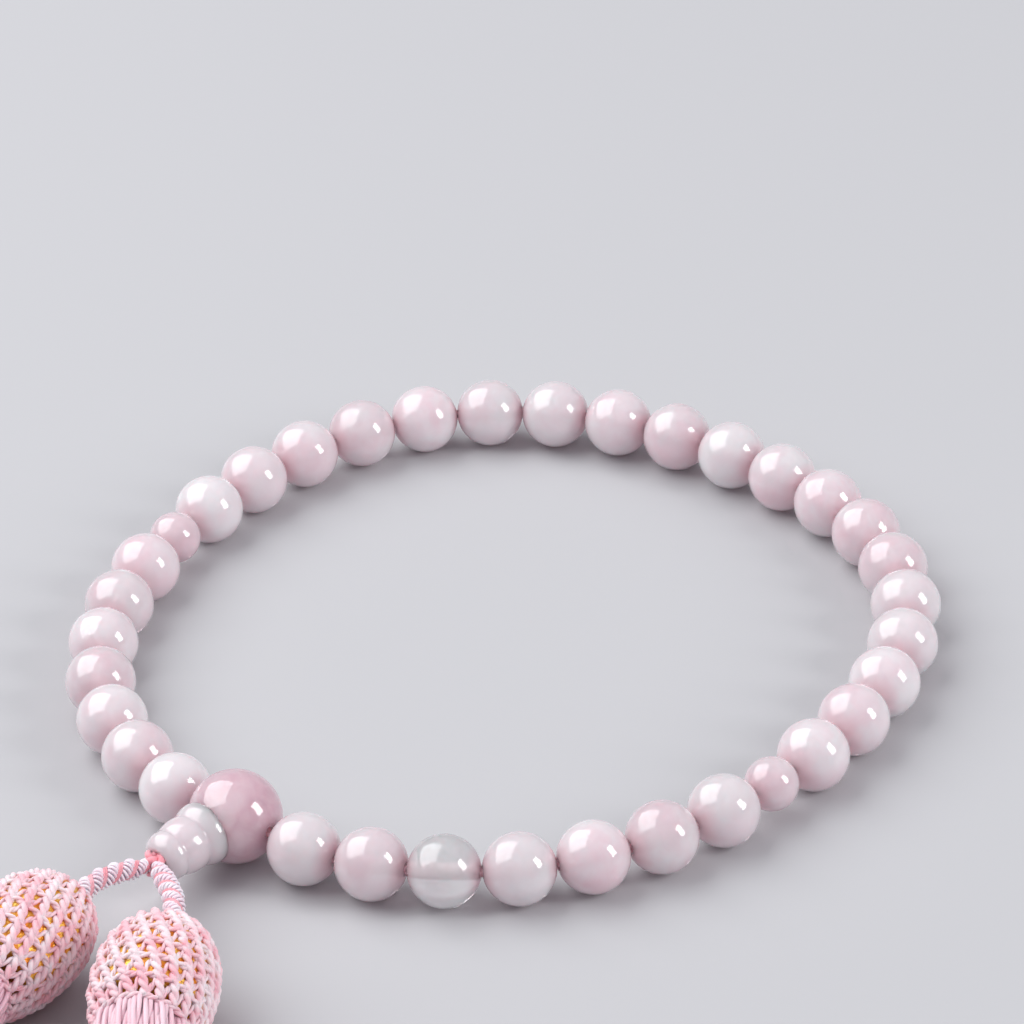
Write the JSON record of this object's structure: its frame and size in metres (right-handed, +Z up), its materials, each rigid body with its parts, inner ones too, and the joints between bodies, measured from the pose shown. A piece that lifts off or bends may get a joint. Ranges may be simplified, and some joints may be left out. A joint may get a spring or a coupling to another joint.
{
  "type": "mala prayer beads",
  "caption": "One-loop string of polished stone prayer beads with a parent bead, ribbed end piece and two cord-hung silk tassels with net-covered heads.",
  "frame": {"origin": "middle of the footprint, on the table", "axes": "+Z up from the table, +Y from the tassels' ends towards the far side of the ring, +X to the right of it"},
  "size_m": [0.1462, 0.1836, 0.0138],
  "materials": {
    "rose_quartz": "polished, milky and slightly see-through",
    "mauve_quartz": "polished, milky mauve-pink",
    "pale_quartz": "polished, milky white-pink",
    "pink_string": "twisted pink thread",
    "knotted_cord": "spiral-knotted pink and white thread",
    "knitted_net": "knotted pink silk net",
    "gold_foil": "gold foil over a light core",
    "silk_strands": "glossy twisted silk"
  },
  "bodies": {
    "parent": {"parent_bead": "mauve_quartz", "loop_string_00": "pink_string", "tie_cord": "knotted_cord"},
    "string_01": {"loop_string_01": "pink_string"},
    "string_02": {"loop_string_02": "pink_string"},
    "string_03": {"loop_string_03": "pink_string"},
    "string_04": {"loop_string_04": "pink_string"},
    "string_05": {"loop_string_05": "pink_string"},
    "string_06": {"loop_string_06": "pink_string"},
    "string_07": {"loop_string_07": "pink_string"},
    "string_08": {"loop_string_08": "pink_string"},
    "string_09": {"loop_string_09": "pink_string"},
    "string_10": {"loop_string_10": "pink_string"},
    "string_11": {"loop_string_11": "pink_string"},
    "main_bead_01": {"main_bead_01": "rose_quartz"},
    "main_bead_02": {"main_bead_02": "rose_quartz"},
    "main_bead_03": {"main_bead_03": "rose_quartz"},
    "main_bead_04": {"main_bead_04": "rose_quartz"},
    "main_bead_05": {"main_bead_05": "rose_quartz"},
    "main_bead_06": {"main_bead_06": "rose_quartz"},
    "main_bead_07": {"main_bead_07": "rose_quartz"},
    "small_bead_1": {"small_bead_1": "rose_quartz"},
    "main_bead_08": {"main_bead_08": "rose_quartz"},
    "main_bead_09": {"main_bead_09": "rose_quartz"},
    "main_bead_10": {"main_bead_10": "rose_quartz"},
    "main_bead_11": {"main_bead_11": "rose_quartz"},
    "main_bead_12": {"main_bead_12": "rose_quartz"},
    "main_bead_13": {"main_bead_13": "rose_quartz"},
    "main_bead_14": {"main_bead_14": "rose_quartz"},
    "main_bead_15": {"main_bead_15": "rose_quartz"},
    "main_bead_16": {"main_bead_16": "rose_quartz"},
    "main_bead_17": {"main_bead_17": "rose_quartz"},
    "main_bead_18": {"main_bead_18": "rose_quartz"},
    "main_bead_19": {"main_bead_19": "rose_quartz"},
    "main_bead_20": {"main_bead_20": "rose_quartz"},
    "main_bead_21": {"main_bead_21": "rose_quartz"},
    "main_bead_22": {"main_bead_22": "rose_quartz"},
    "main_bead_23": {"main_bead_23": "rose_quartz"},
    "main_bead_24": {"main_bead_24": "rose_quartz"},
    "main_bead_25": {"main_bead_25": "rose_quartz"},
    "main_bead_26": {"main_bead_26": "rose_quartz"},
    "small_bead_2": {"small_bead_2": "rose_quartz"},
    "main_bead_27": {"main_bead_27": "rose_quartz"},
    "main_bead_28": {"main_bead_28": "rose_quartz"},
    "main_bead_29": {"main_bead_29": "rose_quartz"},
    "main_bead_30": {"main_bead_30": "rose_quartz"},
    "main_bead_31": {"main_bead_31": "rose_quartz"},
    "main_bead_32": {"main_bead_32": "rose_quartz"},
    "main_bead_33": {"main_bead_33": "rose_quartz"},
    "bosa": {"bosa": "pale_quartz"},
    "cord_right": {"tassel_cord_right": "knotted_cord"},
    "head_right": {"head_net_right": "knitted_net", "head_core_right": "gold_foil"},
    "strands_right": {"tassel_strands_right": "silk_strands"},
    "cord_left": {"tassel_cord_left": "knotted_cord"},
    "head_left": {"head_net_left": "knitted_net", "head_core_left": "gold_foil"},
    "strands_left": {"tassel_strands_left": "silk_strands"}
  },
  "joints": [
    {"name": "bend_01", "type": "hinge", "parent": "parent", "child": "string_01", "pos_m": [0.00351, -0.00337, 0.004], "axis": [0, 0, 1], "range_deg": [-10, 10]},
    {"name": "bend_02", "type": "hinge", "parent": "string_01", "child": "string_02", "pos_m": [0.02705, -0.00705, 0.004], "axis": [0, 0, 1], "range_deg": [-0.64, 0.64]},
    {"name": "bend_03", "type": "hinge", "parent": "string_02", "child": "string_03", "pos_m": [0.0487, 0.00322, 0.004], "axis": [0, 0, 1], "range_deg": [-10, 10]},
    {"name": "bend_04", "type": "hinge", "parent": "string_03", "child": "string_04", "pos_m": [0.06315, 0.02001, 0.004], "axis": [0, 0, 1], "range_deg": [-9.24, 9.24]},
    {"name": "bend_05", "type": "hinge", "parent": "string_04", "child": "string_05", "pos_m": [0.06876, 0.04318, 0.004], "axis": [0, 0, 1], "range_deg": [-0.46, 0.46]},
    {"name": "bend_06", "type": "hinge", "parent": "string_05", "child": "string_06", "pos_m": [0.05962, 0.06526, 0.004], "axis": [0, 0, 1], "range_deg": [-9.6, 9.6]},
    {"name": "bend_11", "type": "hinge", "parent": "parent", "child": "string_11", "pos_m": [-0.01655, 0.01472, 0.004], "axis": [0, 0, 1], "range_deg": [-10.06, 10.06]},
    {"name": "bend_10", "type": "hinge", "parent": "string_11", "child": "string_10", "pos_m": [-0.02336, 0.03762, 0.004], "axis": [0, 0, 1], "range_deg": [-0.9, 0.9]},
    {"name": "bend_09", "type": "hinge", "parent": "string_10", "child": "string_09", "pos_m": [-0.01698, 0.06076, 0.004], "axis": [0, 0, 1], "range_deg": [-10.33, 10.33]},
    {"name": "bend_08", "type": "hinge", "parent": "string_09", "child": "string_08", "pos_m": [-0.0032, 0.07811, 0.004], "axis": [0, 0, 1], "range_deg": [-8.92, 8.92]},
    {"name": "bend_07", "type": "hinge", "parent": "string_08", "child": "string_07", "pos_m": [0.01865, 0.0875, 0.004], "axis": [0, 0, 1], "range_deg": [-0.95, 0.95]},
    {"name": "swing_cord_right", "type": "hinge", "parent": "parent", "child": "cord_right", "pos_m": [-0.01604, -0.00388, 0.005], "axis": [0, 0, 1], "range_deg": [-3, 25]},
    {"name": "swing_head_right", "type": "hinge", "parent": "cord_right", "child": "head_right", "pos_m": [-0.01391, -0.01805, 0.0069], "axis": [0, 0, 1], "range_deg": [-8, 12]},
    {"name": "swing_strands_right", "type": "hinge", "parent": "head_right", "child": "strands_right", "pos_m": [-0.01649, -0.03642, 0.0069], "axis": [0, 0, 1], "range_deg": [-12, 12]},
    {"name": "swing_cord_left", "type": "hinge", "parent": "parent", "child": "cord_left", "pos_m": [-0.01604, -0.00388, 0.005], "axis": [0, 0, 1], "range_deg": [-25, 3]},
    {"name": "swing_head_left", "type": "hinge", "parent": "cord_left", "child": "head_left", "pos_m": [-0.02368, -0.011, 0.0069], "axis": [0, 0, 1], "range_deg": [-12, 8]},
    {"name": "swing_strands_left", "type": "hinge", "parent": "head_left", "child": "strands_left", "pos_m": [-0.03458, -0.02601, 0.0069], "axis": [0, 0, 1], "range_deg": [-12, 12]},
    {"name": "spin_bosa", "type": "hinge", "parent": "parent", "child": "bosa", "pos_m": [-0.00785, 0.0042, 0.005], "axis": [-0.712, -0.7022, 0], "continuous": true},
    {"name": "spin_main_bead_01", "type": "hinge", "parent": "parent", "child": "main_bead_01", "pos_m": [-0.00013, -0.00158, 0.004], "axis": [0.8472, -0.5282, -0.0565], "continuous": true},
    {"name": "spin_main_bead_02", "type": "hinge", "parent": "string_01", "child": "main_bead_02", "pos_m": [0.00715, -0.00515, 0.004], "axis": [0.9358, -0.3524, 0], "continuous": true},
    {"name": "spin_main_bead_03", "type": "hinge", "parent": "string_01", "child": "main_bead_03", "pos_m": [0.01496, -0.00727, 0.004], "axis": [0.9874, -0.1583, 0], "continuous": true},
    {"name": "spin_main_bead_04", "type": "hinge", "parent": "string_01", "child": "main_bead_04", "pos_m": [0.02305, -0.0077, 0.004], "axis": [0.9986, 0.0537, 0], "continuous": true},
    {"name": "spin_main_bead_05", "type": "hinge", "parent": "string_02", "child": "main_bead_05", "pos_m": [0.03105, -0.0064, 0.004], "axis": [0.9655, 0.2602, 0], "continuous": true},
    {"name": "spin_main_bead_06", "type": "hinge", "parent": "string_02", "child": "main_bead_06", "pos_m": [0.03861, -0.00351, 0.004], "axis": [0.8988, 0.4383, 0], "continuous": true},
    {"name": "spin_main_bead_07", "type": "hinge", "parent": "string_02", "child": "main_bead_07", "pos_m": [0.04555, 0.00067, 0.004], "axis": [0.8218, 0.5697, 0], "continuous": true},
    {"name": "spin_small_bead_1", "type": "hinge", "parent": "string_03", "child": "small_bead_1", "pos_m": [0.05108, 0.00513, 0.004], "axis": [0.7429, 0.6694, 0], "continuous": true},
    {"name": "spin_main_bead_08", "type": "hinge", "parent": "string_03", "child": "main_bead_08", "pos_m": [0.05609, 0.01016, 0.004], "axis": [0.6614, 0.75, 0], "continuous": true},
    {"name": "spin_main_bead_09", "type": "hinge", "parent": "string_03", "child": "main_bead_09", "pos_m": [0.06111, 0.01651, 0.004], "axis": [0.5634, 0.8262, 0], "continuous": true},
    {"name": "spin_main_bead_10", "type": "hinge", "parent": "string_04", "child": "main_bead_10", "pos_m": [0.06519, 0.02351, 0.004], "axis": [0.4248, 0.9053, 0], "continuous": true},
    {"name": "spin_main_bead_11", "type": "hinge", "parent": "string_04", "child": "main_bead_11", "pos_m": [0.06797, 0.03112, 0.004], "axis": [0.2428, 0.9701, 0], "continuous": true},
    {"name": "spin_main_bead_12", "type": "hinge", "parent": "string_04", "child": "main_bead_12", "pos_m": [0.0691, 0.03914, 0.004], "axis": [0.0274, 0.9996, 0], "continuous": true},
    {"name": "spin_main_bead_13", "type": "hinge", "parent": "string_05", "child": "main_bead_13", "pos_m": [0.06841, 0.04721, 0.004], "axis": [-0.1945, 0.9809, 0], "continuous": true},
    {"name": "spin_main_bead_14", "type": "hinge", "parent": "string_05", "child": "main_bead_14", "pos_m": [0.06597, 0.05494, 0.004], "axis": [-0.3918, 0.92, 0], "continuous": true},
    {"name": "spin_main_bead_15", "type": "hinge", "parent": "string_05", "child": "main_bead_15", "pos_m": [0.06209, 0.06205, 0.004], "axis": [-0.5457, 0.838, 0], "continuous": true},
    {"name": "spin_main_bead_16", "type": "hinge", "parent": "string_06", "child": "main_bead_16", "pos_m": [0.05716, 0.06847, 0.004], "axis": [-0.6569, 0.754, 0], "continuous": true},
    {"name": "spin_main_bead_17", "type": "hinge", "parent": "string_06", "child": "main_bead_17", "pos_m": [0.05147, 0.07424, 0.004], "axis": [-0.7415, 0.671, 0], "continuous": true},
    {"name": "spin_main_bead_18", "type": "hinge", "parent": "string_06", "child": "main_bead_18", "pos_m": [0.04516, 0.07932, 0.004], "axis": [-0.819, 0.5738, 0], "continuous": true},
    {"name": "spin_main_bead_19", "type": "hinge", "parent": "string_07", "child": "main_bead_19", "pos_m": [0.03823, 0.08351, 0.004], "axis": [-0.897, 0.4421, 0], "continuous": true},
    {"name": "spin_main_bead_20", "type": "hinge", "parent": "string_07", "child": "main_bead_20", "pos_m": [0.03069, 0.08646, 0.004], "axis": [-0.9644, 0.2646, 0], "continuous": true},
    {"name": "spin_main_bead_21", "type": "hinge", "parent": "string_07", "child": "main_bead_21", "pos_m": [0.02269, 0.08778, 0.004], "axis": [-0.9989, 0.0475, 0], "continuous": true},
    {"name": "spin_main_bead_22", "type": "hinge", "parent": "string_08", "child": "main_bead_22", "pos_m": [0.01461, 0.08722, 0.004], "axis": [-0.9827, -0.1853, 0], "continuous": true},
    {"name": "spin_main_bead_23", "type": "hinge", "parent": "string_08", "child": "main_bead_23", "pos_m": [0.00688, 0.08479, 0.004], "axis": [-0.9157, -0.4018, 0], "continuous": true},
    {"name": "spin_main_bead_24", "type": "hinge", "parent": "string_08", "child": "main_bead_24", "pos_m": [-0.00013, 0.08075, 0.004], "axis": [-0.8161, -0.5779, 0], "continuous": true},
    {"name": "spin_main_bead_25", "type": "hinge", "parent": "string_09", "child": "main_bead_25", "pos_m": [-0.00628, 0.07547, 0.004], "axis": [-0.7077, -0.7065, 0], "continuous": true},
    {"name": "spin_main_bead_26", "type": "hinge", "parent": "string_09", "child": "main_bead_26", "pos_m": [-0.01157, 0.06934, 0.004], "axis": [-0.6106, -0.792, 0], "continuous": true},
    {"name": "spin_small_bead_2", "type": "hinge", "parent": "string_09", "child": "small_bead_2", "pos_m": [-0.01554, 0.06346, 0.004], "axis": [-0.5161, -0.8565, 0], "continuous": true},
    {"name": "spin_main_bead_27", "type": "hinge", "parent": "string_10", "child": "main_bead_27", "pos_m": [-0.01888, 0.05719, 0.004], "axis": [-0.4094, -0.9124, 0], "continuous": true},
    {"name": "spin_main_bead_28", "type": "hinge", "parent": "string_10", "child": "main_bead_28", "pos_m": [-0.02175, 0.04962, 0.004], "axis": [-0.2757, -0.9612, 0], "continuous": true},
    {"name": "spin_main_bead_29", "type": "hinge", "parent": "string_10", "child": "main_bead_29", "pos_m": [-0.02334, 0.04167, 0.004], "axis": [-0.1011, -0.9949, 0], "continuous": true},
    {"name": "spin_main_bead_30", "type": "hinge", "parent": "string_11", "child": "main_bead_30", "pos_m": [-0.02338, 0.03357, 0.004], "axis": [0.0946, -0.9955, 0], "continuous": true},
    {"name": "spin_main_bead_31", "type": "hinge", "parent": "string_11", "child": "main_bead_31", "pos_m": [-0.02181, 0.02563, 0.004], "axis": [0.2886, -0.9575, 0], "continuous": true},
    {"name": "spin_main_bead_32", "type": "hinge", "parent": "string_11", "child": "main_bead_32", "pos_m": [-0.01873, 0.01813, 0.004], "axis": [0.4607, -0.8875, 0], "continuous": true},
    {"name": "spin_main_bead_33", "type": "hinge", "parent": "parent", "child": "main_bead_33", "pos_m": [-0.01438, 0.01131, 0.004], "axis": [0.6143, -0.787, 0.0565], "continuous": true}
  ],
  "couplings": [
    {"joint": "bend_02", "follows": "bend_01", "ratio": -0.063},
    {"joint": "bend_03", "follows": "bend_01", "ratio": -0.999},
    {"joint": "bend_04", "follows": "bend_01", "ratio": -0.923},
    {"joint": "bend_05", "follows": "bend_01", "ratio": 0.045},
    {"joint": "bend_06", "follows": "bend_01", "ratio": 0.959},
    {"joint": "bend_11", "follows": "bend_01", "ratio": -1.005},
    {"joint": "bend_10", "follows": "bend_01", "ratio": 0.089},
    {"joint": "bend_09", "follows": "bend_01", "ratio": 1.032},
    {"joint": "bend_08", "follows": "bend_01", "ratio": 0.891},
    {"joint": "bend_07", "follows": "bend_01", "ratio": -0.094}
  ]
}
